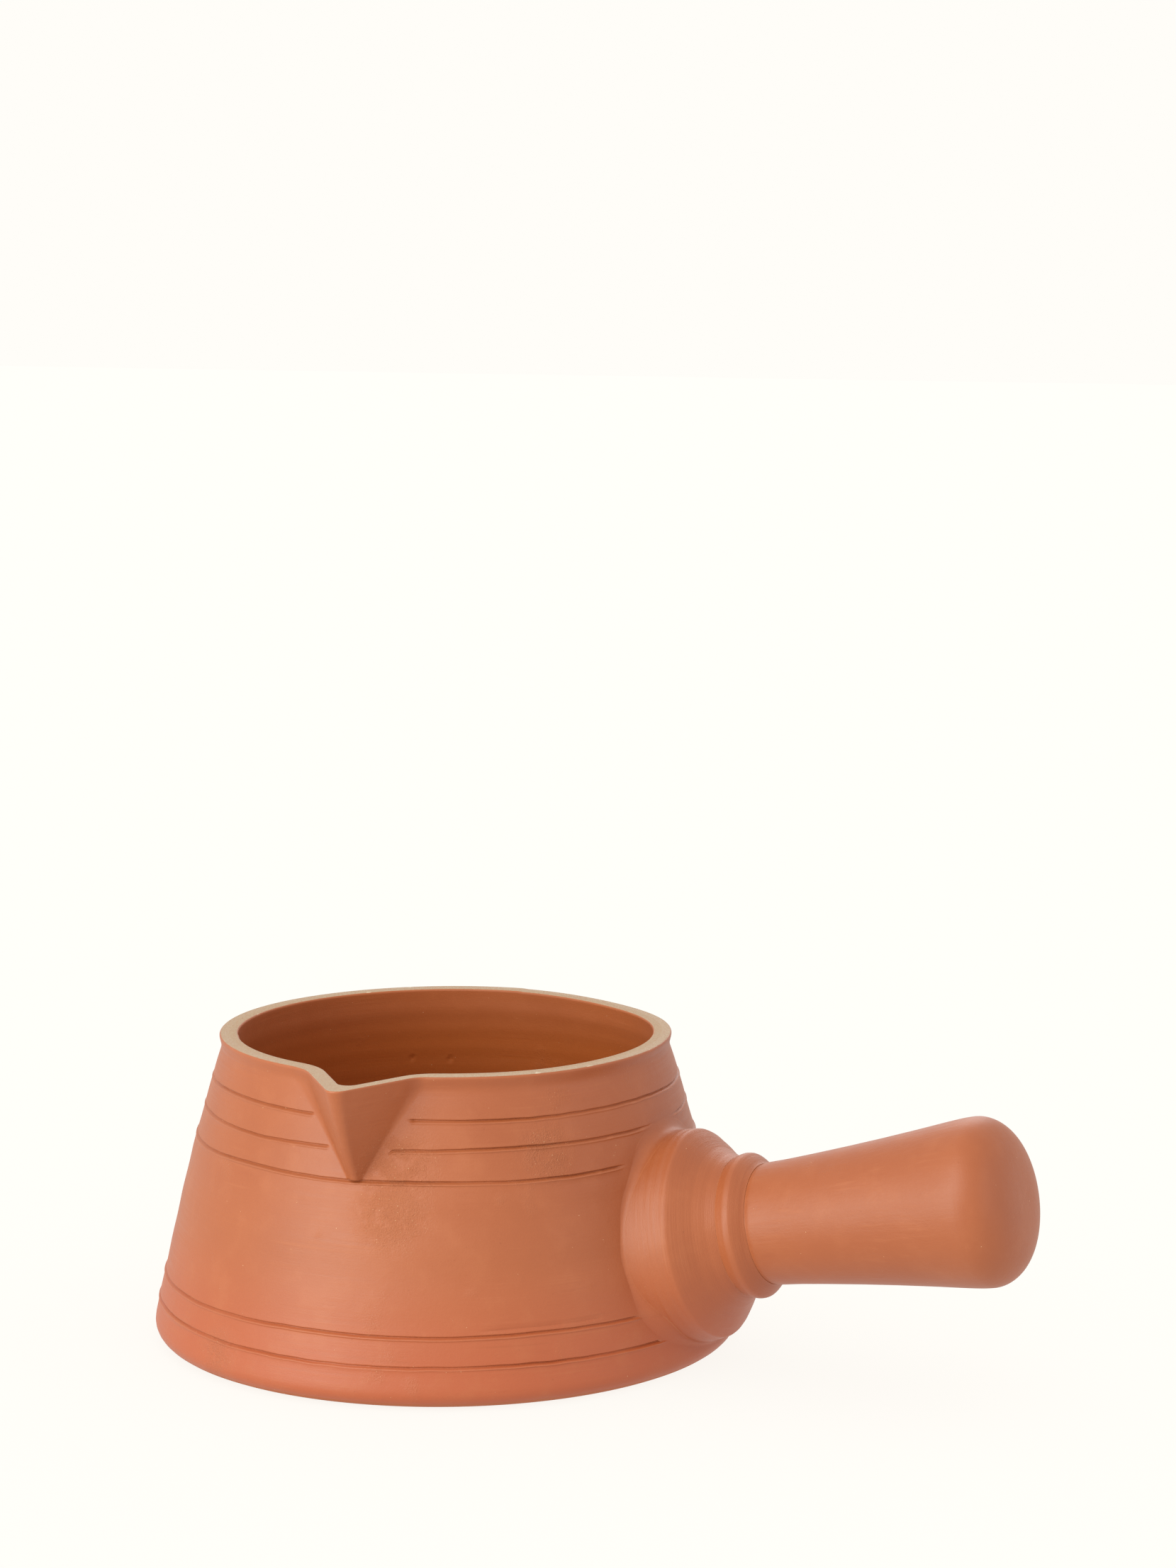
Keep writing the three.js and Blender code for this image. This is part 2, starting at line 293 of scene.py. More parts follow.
def groove_cut(angle, height, points):
    """Depth of the incised lines: uneven, wiped away beside the beak and under the handle."""
    distance, _ = handle_distance(points)
    first, over = WIPED_ROUND_BELL
    under_handle = np.where(points[..., 0] > 0, smooth_step((distance - first) / over), 1.0)
    degrees = np.degrees(angle)
    cut = np.zeros_like(height)
    for i, (middle, lip) in enumerate(zip(GROOVES, GROOVE_LIPS)):
        line = (middle + LINE_WANDER * wobble(angle, seed=10 + i, waves=9)
                + LINE_TREMBLE * wobble(angle, seed=30 + i, waves=60))
        left = 1.0
        if middle > BEAK_APEX + 1:
            left, drop = wiped_away(middle, degrees)
            line = line - drop
        depth = GROOVE_DEPTH * left * (1 + GROOVE_UNEVEN * wobble(angle, seed=50 + i, waves=14))
        above = height - line
        burr = np.maximum(wobble(angle, seed=70 + i, waves=90) - BURR_RARITY, 0)
        burr = burr * bump(above - BURR_RISE, BURR_WIDTH)
        raised = lip * bump(above + LIP_DROP, LIP_WIDTH)
        cut = cut + depth * (incised(above) - raised - BURR_SHARE * burr)
    scratch, start, end = SCRATCH
    fade_in, fade_out = SCRATCH_FADES
    drawn = smooth_step((degrees - start) / fade_in) * smooth_step((end - degrees) / fade_out)
    slanted = scratch + SCRATCH_SLANT * (degrees - start) / (end - start)
    trembling = slanted + SCRATCH_TREMBLE * wobble(angle, seed=60, waves=60)
    cut = cut + SCRATCH_DEPTH * drawn * incised(height - trembling)
    bands = BAND_DEPTH * np.sin((height - 2) * BAND_RATE) * smooth_step((height - 3) / 8)
    return cut * under_handle + bands


def outside(angle, height):
    """Radius of the outer surface of bowl and beak together, angle counted from the beak."""
    wall = outside_radius(height)
    turned = angle + BEAK_TURN
    points = np.stack([wall * np.cos(turned), wall * np.sin(turned), height], -1)
    wall = wall + WALL_WOBBLE * wobble(angle, seed=3, waves=3) - groove_cut(angle, height, points)
    rise = np.clip((height - BEAK_APEX) / (HEIGHT - BEAK_APEX), 0, 1)
    tip_radius = between(KEEL_RADIUS, rise ** 2)
    reach = between(KEEL_REACH, between((rise, np.sin(rise * math.pi / 2)), KEEL_FULLNESS))
    tip = np.stack([reach - tip_radius, between(KEEL_SIDE, rise)], -1)
    wedge = wedge_radius(angle, tip, tip_radius, FLANKS)
    across = np.clip(np.degrees(angle) / right_join(np.maximum(height, BEAK_APEX)), 0, 1)
    wedge = wedge + FLANK_BULGE * np.sin(math.pi * across) * (1 - rise ** 3)
    wedge = wedge - KEEL_UNDERCUT * np.maximum(BEAK_APEX + 0.25 - height, 0)
    softness = np.where(angle < 0, between(LEFT_BLEND, rise ** 2), between(RIGHT_BLEND, rise ** 2))
    return smooth_max(wall, wedge, softness)


def inside(angle, height):
    """Radius of the inner surface, with the beak's trough."""
    ripple = RIPPLE_DEPTH * np.sin(height * RIPPLE_RATE + angle)
    wall = inside_radius(height) + ripple + INSIDE_WOBBLE * wobble(angle, seed=5, waves=7)
    degrees = np.degrees(angle)
    for turn, middle in PITS:
        away = np.hypot((degrees - turn) * INSIDE_DEGREE, height - middle)
        rim_radius, rim_width, rim_height = PIT_RIM
        wall = wall + PIT_DEPTH * bump(away, PIT_RADIUS) - rim_height * bump(away - rim_radius, rim_width)
    rise = 1 - np.clip((HEIGHT - height) / (HEIGHT - TROUGH_FOOT), 0, 1)
    tip_radius = between(TROUGH_RADIUS, rise)
    tip = np.stack([between(TROUGH_REACH, rise) - tip_radius, between(TROUGH_SIDE, rise)], -1)
    wedge = wedge_radius(angle, tip, tip_radius, FLANKS)
    wedge = wedge - TROUGH_UNDERCUT * np.maximum(TROUGH_FOOT - height, 0)
    wide, high, thick = CRUMB_SIZE
    crumb = thick * bump(degrees + CRUMB[0], wide) * bump(height - CRUMB[1], high)
    return smooth_max(wall, wedge, TROUGH_BLEND) - crumb


# ---- bowl and beak as one grid of points, cut into pieces ----

def column_angles(height):
    """Angles of the grid's columns at a height, closer together at the beak and at its edges."""
    margin = COLUMN_MARGIN + COLUMN_SPREAD * smooth_step((BEAK_APEX - 2 - height) / 20)
    left = left_join(max(height, BEAK_APEX)) - margin
    right = right_join(max(height, BEAK_APEX)) + margin
    knots = [-180, -110, -45, left - 9, left - SEAM_TURN, left,
             right, right + SEAM_TURN, right + 9, 45, 105, 180]
    columns = np.interp(np.arange(sum(COLUMN_COUNTS)), np.cumsum([0, *COLUMN_COUNTS]), knots)
    return np.radians(columns)


def wall_levels():
    """Heights of the grid's rows on the outer wall, closer together at the grooves."""
    levels = [FOOT_ROUND]
    while levels[-1] < HEIGHT - LIP_ROUND:
        nearest = min(abs(levels[-1] - g) for g in GROOVES)
        levels.append(levels[-1] + (FINE_ROW if nearest < FINE_REACH else COARSE_ROW))
    levels[-1] = HEIGHT - LIP_ROUND
    return np.array(levels)


def rim_wave(angles, height):
    """How far the rim and the wall near it are raised or lowered round the bowl."""
    wave = RIM_WOBBLE * wobble(angles, seed=8, waves=5)
    for middle, spread, dip in RIM_DIPS:
        wave = wave - dip * bump(np.degrees(angles) - middle, spread)
    start, over = RIM_UNEVEN_FROM
    return wave * smooth_step((height - start) / over)


def quarter_turns(steps):
    """Angles from 0 to a quarter turn, both included."""
    return np.linspace(0, 1, steps) * math.pi / 2


def bowl_grid():
    """Rows of points from the middle of the base, up the outside, over the rim and down inside.

    Returns the points, and the first outer and the last inner row of the shared wall levels.
    """
    levels = wall_levels()
    rows = []

    def add(height, radius_of):
        angles = column_angles(height)
        radius = radius_of(angles, np.full_like(angles, height))
        turned = angles + BEAK_TURN
        wave = rim_wave(angles, height)
        rows.append(np.stack([radius * np.cos(turned), radius * np.sin(turned), height + wave], -1))

    def add_ring(height, radius):
        add(height, lambda a, z: np.full_like(a, radius))

    for radius in (*BASE_RINGS, FOOT_RADIUS - FOOT_INSET - 1.5):
        add_ring(0.0, radius)
    for turn in quarter_turns(9)[:-1]:
        inset = FOOT_INSET * (1 - math.sin(turn))
        add(FOOT_ROUND * (1 - math.cos(turn)),
            lambda a, z, i=inset: outside(a, np.full_like(z, FOOT_ROUND)) - i)
    first_level = len(rows)
    for level in levels:
        add(level, outside)
    for turn in quarter_turns(6)[1:]:
        inset = LIP_ROUND * (1 - math.cos(turn))
        add(HEIGHT - LIP_ROUND * (1 - math.sin(turn)), lambda a, z, i=inset: outside(a, z) - i)
    for share in (0.25, 0.5, 0.75):
        add(HEIGHT, lambda a, z, s=share: between((outside(a, z), inside(a, z)), s))
    for turn in quarter_turns(6)[:0:-1]:
        inset = LIP_ROUND * (1 - math.cos(turn))
        add(HEIGHT - LIP_ROUND * (1 - math.sin(turn)), lambda a, z, i=inset: inside(a, z) + i)
    shared = levels[levels > SHARED_FROM]
    for level in shared[::-1]:
        add(level, inside)
    last_shared = len(rows) - 1
    corner_top = FLOOR + CORNER_ROUND
    for level in np.arange(shared[0] - 1.5, corner_top + 0.5, -INSIDE_ROW):
        add(level, inside)
    corner = inside_radius(corner_top) - CORNER_ROUND
    for turn in quarter_turns(10):
        add_ring(FLOOR + CORNER_ROUND * (1 - math.sin(turn)), corner + CORNER_ROUND * math.cos(turn))
    for radius in FLOOR_RINGS:
        add_ring(FLOOR, radius)
    first_shared = first_level + len(levels) - len(shared)
    return np.array(rows), first_shared, last_shared


def grid_normals(points):
    """Outward normals of a grid whose columns go once round."""
    round_way = np.roll(points, -1, axis=1) - np.roll(points, 1, axis=1)
    up_way = np.gradient(points, axis=0)
    normals = np.cross(round_way, up_way)
    normals /= np.maximum(np.linalg.norm(normals, axis=-1, keepdims=True), 1e-12)
    return normals


def make_object(name, points, faces, flat_faces=(), normals=None, joined=None):
    """A mesh object from points in millimetres, with smooth faces and then flat ones.

    normals, if any, are the surface's own, one per point, so that a cut through it doesn't show.
    joined, if any, is 1 at the points where a cut's edge is smoothed over, and gets neither the pale edge
    colour nor the painted shade of hollows.
    """
    every = [*faces, *flat_faces]
    used = sorted({i for face in every for i in face})
    place = {old: new for new, old in enumerate(used)}
    mesh = bpy.data.meshes.new(name)
    mesh.from_pydata([Vector(points[i]) * MM for i in used], [],
                     [[place[i] for i in face] for face in every])
    mesh.polygons.foreach_set("use_smooth", [i < len(faces) for i in range(len(every))])
    if normals is not None:
        corners = [normals[i] for face in faces for i in face]
        corners += [polygon.normal for polygon in mesh.polygons[len(faces):] for _ in polygon.vertices]
        mesh.normals_split_custom_set(corners)
    if joined is not None:
        layer = mesh.attributes.new("joined", "FLOAT", "POINT")
        layer.data.foreach_set("value", [joined[i] for i in used])
    piece = bpy.data.objects.new(name, mesh)
    bpy.context.scene.collection.objects.link(piece)
    return piece


def bowl_pieces():
    """Cuts the grid into the thrown body, the beak and the slip seam between them."""
    points, first_shared, last_shared = bowl_grid()
    count, columns = points.shape[:2]
    normals = grid_normals(points)
    flat_points = points.reshape(-1, 3)
    flat_normals = normals.reshape(-1, 3)
    top = (first_shared + last_shared) // 2

    def index(row, column):
        return row * columns + column % columns

    def mirrored(row):
        """The inner row at the height of an outer one, and the other way round."""
        return first_shared + last_shared - row

    def owner(row, column):
        """The piece that a cell belongs to, outside or inside."""
        row = row if row <= top else mirrored(row) - 1
        if row < first_shared + SEAM_ROWS or not SEAM_LEFT <= column < SEAM_RIGHT:
            return "body"
        in_beak = BEAK_LEFT <= column < BEAK_RIGHT and row >= first_shared + 2 * SEAM_ROWS
        return "beak" if in_beak else "seam"

    faces = {"body": [], "beak": [], "seam": []}
    cuts = {"body": [], "beak": [], "seam": []}

    def divide(cut, one, other):
        """Closes two neighbouring pieces along the cut between them."""
        if one != other:
            cuts[one].append(cut)
            cuts[other].append(cut[::-1])

    for row in range(count - 1):
        for column in range(columns):
            corners = [index(row, column), index(row, column + 1),
                       index(row + 1, column + 1), index(row + 1, column)]
            piece = owner(row, column) if first_shared <= row < last_shared else "body"
            faces[piece].append(corners)
    for row in (0, count - 1):
        ring = [index(row, column) for column in range(columns)]
        cuts["body"].append(ring if row else ring[::-1])

    rim_row = first_shared
    while rim_row < top and points[rim_row, 0, 2] == points[mirrored(rim_row), 0, 2]:
        rim_row += 1
    for column in (SEAM_LEFT, BEAK_LEFT, BEAK_RIGHT, SEAM_RIGHT):
        for row in range(first_shared, rim_row - 1):
            cut = [index(row, column), index(row + 1, column),
                   index(mirrored(row) - 1, column), index(mirrored(row), column)]
            divide(cut, owner(row, column), owner(row, column - 1))
        over = [index(row, column) for row in range(rim_row - 1, mirrored(rim_row - 1) + 1)]
        divide(over, owner(rim_row - 1, column), owner(rim_row - 1, column - 1))
    for row in (first_shared + SEAM_ROWS, first_shared + 2 * SEAM_ROWS):
        for column in range(SEAM_LEFT, SEAM_RIGHT):
            cut = [index(row, column), index(row, column + 1),
                   index(mirrored(row), column + 1), index(mirrored(row), column)]
            divide(cut, owner(row - 1, column), owner(row, column))
    joined = np.zeros((count, columns))
    for column in (SEAM_LEFT, BEAK_LEFT, BEAK_RIGHT, SEAM_RIGHT):
        joined[first_shared + SEAM_ROWS:last_shared - SEAM_ROWS + 1, column - 2:column + 3] = 1
    names = {"body": "bowl", "beak": "beak", "seam": "beak_slip"}
    return [make_object(names[key], flat_points, faces[key], cuts[key], flat_normals, joined.ravel())
            for key in faces]


# ---- handle ----

def on_handle(along, radius, turn, sag=None):
    """Points about the handle's axis. turn is 0 upwards and grows towards +Y.

    The bell sinks a little towards the wall, unless sag says how far.
    """
    drop = BELL_SAG * (BELL_FRONT - along) if sag is None else sag
    across = radius * np.sin(turn)
    up = radius * np.cos(turn) - np.maximum(drop, 0)
    x = along * math.cos(HANDLE_TILT) - up * math.sin(HANDLE_TILT)
    z = HANDLE_HEIGHT + along * math.sin(HANDLE_TILT) + up * math.cos(HANDLE_TILT)
    return np.stack([x, across + 0 * x, z], -1)


bell_radius = soft_outline(
    [(46, 24.2), (57, 23.7), (64, 23.2), (67.9, 22.75), (69.3, 21.2), (72.0, 18.1), (74.2, 16.3),
     (BELL_FRONT, 15.2)], 0.3)
ring_radius = soft_outline(
    [(BELL_FRONT, 15.2), (76.9, 15.45), (78.3, 15.9), (79.4, 15.8), (80.4, 14.9), (81.4, 13.9),
     (RING_FRONT, 13.4)], 0.25)
grip_radius = soft_outline(
    [(RING_FRONT, 13.3), (88, 13.6), (94.5, 14.15), (103, 14.95), (111.5, 15.85), (120, 16.85),
     (127, 17.75), (131, 18.2), (134, 18.25)], 1.0)


def bell_shape(along, turn):
    """Radius of the bell, a little squared by the hand that pressed it."""
    hand = sum(height * np.cos(waves * turn + start) for height, waves, start in HAND_WAVES)
    near_crease = bump(along - BELL_CREASE, CREASE_REACH)
    wander = CREASE_WANDER * wobble(turn, seed=72, waves=5)
    tremble = CREASE_TREMBLE * wobble(turn, seed=73, waves=40)
    ripple = CREASE_RIPPLE * np.sin(3.1 * along + 2 * wobble(turn, seed=74, waves=3))
    uneven = BELL_WOBBLE * wobble(turn, seed=71, waves=12)
    return bell_radius(along + near_crease * (wander + tremble)) + near_crease * (hand + ripple) + uneven


def wall_beyond(points):
    """How far points lie outside the bowl's wall."""
    return np.hypot(points[..., 0], points[..., 1]) - outside_radius(points[..., 2])


def wall_crossing(radius_of, turn, start=44.0, end=75.0):
    """Where each line along the handle's outside comes out of the bowl's wall."""
    low, high = np.full_like(turn, start), np.full_like(turn, end)
    for _ in range(40):
        middle = (low + high) / 2
        inside_wall = wall_beyond(on_handle(middle, radius_of(middle, turn), turn)) < 0
        low, high = np.where(inside_wall, middle, low), np.where(inside_wall, high, middle)
    return high


def tenon_ring(along, turn, clearance=0.0):
    """A ring of points on the tenon, or on the bore round it."""
    return on_handle(along + 0 * turn, TENON_RADIUS + clearance + 0 * turn, turn, sag=0)


def turned_piece(name, outer, before=(), after=(), closed=True):
    """A closed piece from rows of points about the handle's axis.

    The outer rows are its smooth visible surface, towards the grip's end. The rows before and
    after them are its tenon or bore. A piece that isn't closed ends in two flat discs instead.
    """
    rows = [*before, *outer, *after]
    points = np.array(rows)
    columns = points.shape[1]
    normals = np.zeros_like(points)
    normals[len(before):len(before) + len(outer)] = -grid_normals(np.array(outer))
    smooth_faces, flat_faces = [], []
    for row in range(len(rows) if closed else len(rows) - 1):
        seen = len(before) <= row < len(before) + len(outer) - 1
        kind = smooth_faces if seen else flat_faces
        following = (row + 1) % len(rows)
        for column in range(columns):
            beside = (column + 1) % columns
            kind.append([following * columns + column, following * columns + beside,
                         row * columns + beside, row * columns + column])
    if not closed:
        flat_faces.append(list(range(columns)))
        flat_faces.append([(len(rows) - 1) * columns + i for i in range(columns)][::-1])
    return make_object(name, points.reshape(-1, 3), smooth_faces, flat_faces, normals.reshape(-1, 3))


def round_the_handle():
    """Angles of the columns of every piece turned about the handle's axis."""
    return np.linspace(0, 2 * math.pi, HANDLE_SEGMENTS, endpoint=False)


def handle_bell():
    turn = round_the_handle()
    start = wall_crossing(bell_shape, turn) - 0.4
    end = BELL_FRONT - CLEAR
    outer = []
    for share in np.linspace(0, 1, 110):
        along = between((start, end), share)
        outer.append(on_handle(along, bell_shape(along, turn), turn))
    bore_back = wall_crossing(lambda s, t: TENON_RADIUS + CLEAR + 0 * t, turn)
    after = [tenon_ring(between((end, bore_back), share), turn, CLEAR) for share in (0, 0.5, 1)]
    return turned_piece("bell", outer, after=after)


def near_turn(turn, middle, spread):
    """1 at an angle round the handle, fading out on both sides of it."""
    return bump(np.angle(np.exp(1j * (turn - middle))), spread)


def on_wall(points, depth):
    """Points moved level, to or from the bowl's axis, until they lie that deep in its wall."""
    radius = np.hypot(points[..., 0], points[..., 1])
    wanted = outside_radius(np.maximum(points[..., 2], FOOT_ROUND)) - depth
    return points * np.stack([wanted / radius, wanted / radius, 1 + 0 * radius], -1)


def luting_coil():
    """Clay smoothed into the corner between bell and wall: narrow in front, wide elsewhere."""
    turn = round_the_handle()
    crossing = wall_crossing(bell_shape, turn)
    corner = on_handle(crossing, bell_shape(crossing, turn), turn)
    width = COIL_WIDTH + COIL_UNEVEN * wobble(turn, seed=77, waves=10)
    uneven = 1 + COIL_UNEVEN * wobble(turn, seed=78, waves=14)
    for middle, spread, wider in COIL_WIDTHS:
        width = width + wider * near_turn(turn, middle, spread) * uneven
    along = crossing + 0.9 * width
    bell_edge = on_handle(along, bell_shape(along, turn), turn)
    nothing = 0 * turn
    outwards = on_handle(nothing, 1 + nothing, turn, sag=0) - on_handle(nothing, nothing, turn, sag=0)
    wall_edge = on_wall(corner + outwards * width[:, None], CLEAR)
    outer = [wall_edge * (1 - t) ** 2 + corner * 2 * t * (1 - t) + bell_edge * t ** 2
             for t in np.linspace(0, 1, 14)]
    under = outwards * COIL_DEPTH
    after = [bell_edge - under, on_wall(corner - under, COIL_IN_WALL), on_wall(wall_edge, COIL_IN_WALL)]
    return turned_piece("luting_coil", outer, after=after)


def joint_dip(along):
    """How far the clay is worn in where the ring meets the grip."""
    depth, width = JOINT_DIP
    return depth * bump(along - RING_FRONT, width)


def neck_ring():
    turn = round_the_handle()
    uneven = RING_WOBBLE * wobble(turn, seed=81, waves=7)
    lean = RING_LEAN * wobble(turn, seed=83, waves=4)
    start, end = BELL_FRONT, RING_FRONT
    outer = []
    for s in np.linspace(start, end, 46):
        middle = 4 * (s - start) * (end - s) / (end - start) ** 2
        radius = ring_radius(s) + uneven * middle - joint_dip(s)
        outer.append(on_handle(s + lean * middle, radius, turn, sag=0))
    after = [tenon_ring(s, turn, CLEAR) for s in (end, start)]
    return turned_piece("ring", outer, after=after)


def grip():
    turn = round_the_handle()
    root = RING_FRONT + CLEAR
    before = [tenon_ring(s, turn) for s in (TENON_START, root)]
    uneven = GRIP_WOBBLE * wobble(turn, seed=91, waves=5)
    worn_end = root + 2
    places = [*np.linspace(root, worn_end, 20)[:-1], *np.linspace(worn_end, CAP_START, 80)]
    outer = [on_handle(s + 0 * turn, grip_radius(s) - joint_dip(s) + uneven, turn, sag=0)
             for s in places]
    across_power, along_power = CAP_POWERS
    for bend in quarter_turns(34)[1:]:
        radius = max(CAP_RADIUS * max(math.cos(bend), 0) ** across_power, END_DISC)
        along = between((CAP_START, GRIP_END), math.sin(bend) ** along_power)
        outer.append(on_handle(along + 0 * turn, radius + 0 * turn, turn, sag=0))
    return turned_piece("grip", outer, before=before, closed=False)


# ---- materials ----

def add_node(tree, kind, inputs=(), **settings):
    """A shader node; each input is a plain value or another node's output."""
    node = tree.nodes.new(kind)
    for key, value in settings.items():
        setattr(node, key, value)
    for key, value in dict(inputs).items():
        if isinstance(value, bpy.types.NodeSocket):
            tree.links.new(value, node.inputs[key])
        else:
            node.inputs[key].default_value = value
    return node


def noise(tree, coords, scale, detail=3.0, roughness=0.5, distortion=0.0):
    return add_node(tree, "ShaderNodeTexNoise", {
        "Vector": coords, "Scale": scale, "Detail": detail, "Roughness": roughness,
        "Distortion": distortion}).outputs["Fac"]


def stretch(tree, coords, scale):
    return add_node(tree, "ShaderNodeMapping", {"Vector": coords, "Scale": scale}).outputs["Vector"]


def remap(tree, value, low, high, to_low=0.0, to_high=1.0, smooth=True):
    return add_node(tree, "ShaderNodeMapRange", {
        "Value": value, "From Min": low, "From Max": high, "To Min": to_low, "To Max": to_high},
        interpolation_type="SMOOTHSTEP" if smooth else "LINEAR").outputs["Result"]


def mix_colour(tree, share, first, second):
    return add_node(tree, "ShaderNodeMix", {0: share, 6: first, 7: second}, data_type="RGBA").outputs[2]


def mix_value(tree, share, first, second):
    return add_node(tree, "ShaderNodeMix", {0: share, 2: first, 3: second}, data_type="FLOAT").outputs[0]


def maths(tree, operation, *values):
    return add_node(tree, "ShaderNodeMath", dict(enumerate(values)), operation=operation).outputs[0]


CLAY = (0.333, 0.086, 0.026, 1)
CLAY_DEEP = (0.285, 0.066, 0.018, 1)
CLAY_PALE = (0.385, 0.115, 0.042, 1)
CLAY_RED = (0.365, 0.075, 0.024, 1)
# the inside's colour is painted shade, deeper and more saturated than the clay
CLAY_INSIDE_SHADE = (0.355, 0.078, 0.008, 1)
# the rim's dust colour is partly a painted reflection of the bright surroundings, and its edge colour is
# a painted highlight
RIM_DUST_AND_REFLECTION = (0.38, 0.262, 0.163, 1)
RIM_EDGE_HIGHLIGHT = (0.56, 0.46, 0.33, 1)
GRIT = (0.52, 0.27, 0.14, 1)
CLAY_IOR = 1.47

# Heights between which a change goes on, in millimetres.
REDDER = (34, 4)
# the painted shade inside the bowl deepens between these heights
DEEPER_INSIDE = (66, 54)
RIM_CUT = (HEIGHT - 2, HEIGHT - 1)

# Scales of the noises, in waves per metre.
CLOUDS = 24
BURNISH_AREAS = 55
ROUGH_AREAS = 90
MOTTLE = 150
RAGGED_EDGES = 320
CHATTER = 2400
GRAIN = 2900
HAIRLINES = 3.1                          # how much finer hairlines are than burnishing marks

# Scattered spots: size of a cell in millimetres, share of the cells with a spot, largest radius.
CRUMBS = (1.3, 0.2, 0.11)
FINE_CRUMBS = (0.7, 0.8, 0.12)
HOLES = (1.9, 0.4, 0.15)

# Heights of the relief, in millimetres.
HAIRLINE_SHARE = 0.25                    # of the burnishing marks' depth
MOTTLE_RELIEF = 0.09
CRUMB_RELIEF = 0.02
HOLE_RELIEF = -0.04
GRAIN_RELIEF = 0.035
ROUGH_RELIEF = 0.3                       # added to the grain's where the skin is wiped open

EVEN = 0.5                               # pointiness of a flat place, and the middle of a noise


def near_point(tree, place, point, radius):
    """1 close to a point given in millimetres, fading to 0 at a radius."""
    away = add_node(tree, "ShaderNodeVectorMath", {0: place, 1: [c * MM for c in point]},
                    operation="DISTANCE").outputs["Value"]
    return remap(tree, away, radius * MM, 0.25 * radius * MM)


def between_heights(tree, height, ends, to_low=0.0, to_high=1.0):
    """A value that changes softly between two heights given in millimetres."""
    return remap(tree, height, ends[0] * MM, ends[1] * MM, to_low, to_high)


def scattered(tree, place, cell, share, radius):
    """Small round spots, one in a share of the cells of a 3-D scatter; sizes in millimetres."""
    cells = add_node(tree, "ShaderNodeTexVoronoi", {"Vector": place, "Scale": 1 / (cell * MM)})
    chance = add_node(tree, "ShaderNodeSeparateColor", {"Color": cells.outputs["Color"]})
    chosen = maths(tree, "GREATER_THAN", chance.outputs["Red"], 1 - share)
    reach = maths(tree, "MULTIPLY", chance.outputs["Green"], radius / cell)
    spot = maths(tree, "LESS_THAN", cells.outputs["Distance"], reach)
    return maths(tree, "MULTIPLY", spot, chosen)


def inside_the_bowl(tree, place, height):
    """1 inside the line halfway through the bowl's leaning wall, 0 outside it."""
    from_axis = add_node(tree, "ShaderNodeVectorMath", {0: place, 1: (1, 1, 0)}, operation="MULTIPLY")
    radius = add_node(tree, "ShaderNodeVectorMath", {0: from_axis.outputs["Vector"]}, operation="LENGTH")
    at_table = (outside_radius(LEAN_AT) - WALL / 2 + LEAN_AT * WALL_LEAN) * MM
    leaning = maths(tree, "MULTIPLY_ADD", height, -WALL_LEAN, at_table)
    return maths(tree, "LESS_THAN", radius.outputs["Value"], leaning)


def edge_sharpness(tree, surface):
    """Pointiness, above EVEN at edges and below it in hollows, but even where pieces join."""
    joined = add_node(tree, "ShaderNodeAttribute", attribute_name="joined").outputs["Fac"]
    return mix_value(tree, joined, surface.outputs["Pointiness"], EVEN)


def burnishing(tree, place, marks, tilt):
    """Burnishing marks, stronger in some areas than in others, and finer hairlines."""
    turned = add_node(tree, "ShaderNodeVectorRotate", {"Vector": place, "Angle": tilt},
                      rotation_type="Y_AXIS").outputs["Vector"]
    lines = noise(tree, stretch(tree, turned, marks), 1.0, 3, 0.6)
    hairlines = noise(tree, stretch(tree, turned, [s * HAIRLINES for s in marks]), 1.0, 2, 0.55)
    lines_here = remap(tree, noise(tree, place, BURNISH_AREAS, 2), 0.4, 0.62, 0.25, 1.0)
    return mix_value(tree, lines_here, EVEN, lines), hairlines


def roughened(tree, place, patches):
    """How far the skin is open to the grit: a little here and there, and more in the patches."""
    rough_here = remap(tree, noise(tree, place, ROUGH_AREAS, 3), 0.62, 0.8, 0.0, 0.5)
    for point, radius in patches:
        ragged = maths(tree, "MULTIPLY", near_point(tree, place, point, radius),
                       remap(tree, noise(tree, place, RAGGED_EDGES, 3), 0.32, 0.55, 0.35, 1.0))
        rough_here = maths(tree, "MAXIMUM", rough_here, ragged)
    return rough_here


def fired_colour(tree, place, height, mottle, lines, rough_here):
    """Clouded clay, redder towards the foot and paler where it is rubbed or wiped."""
    cloud = noise(tree, place, CLOUDS, 3, 0.55, 0.4)
    colour = mix_colour(tree, remap(tree, cloud, 0.3, 0.7, 0.35, 1), CLAY_DEEP, CLAY)
    colour = mix_colour(tree, between_heights(tree, height, REDDER, 0, 0.8), colour, CLAY_RED)
    colour = mix_colour(tree, remap(tree, mottle, 0.46, 0.76, 0, 0.24), colour, CLAY_PALE)
    colour = mix_colour(tree, remap(tree, lines, 0.53, 0.75, 0, 0.3), colour, CLAY_PALE)
    colour = mix_colour(tree, remap(tree, lines, 0.46, 0.28, 0, 0.3), colour, CLAY_DEEP)
    return mix_colour(tree, maths(tree, "MULTIPLY", rough_here, 0.3), colour, CLAY_PALE)


def cut_rim(tree, surface, height):
    """1 on the rim's flat top, whose skin was cut away, and 0 elsewhere."""
    facing = add_node(tree, "ShaderNodeSeparateXYZ", {"Vector": surface.outputs["Normal"]})
    return maths(tree, "MULTIPLY", remap(tree, facing.outputs["Z"], 0.8, 0.97),
                 between_heights(tree, height, RIM_CUT))


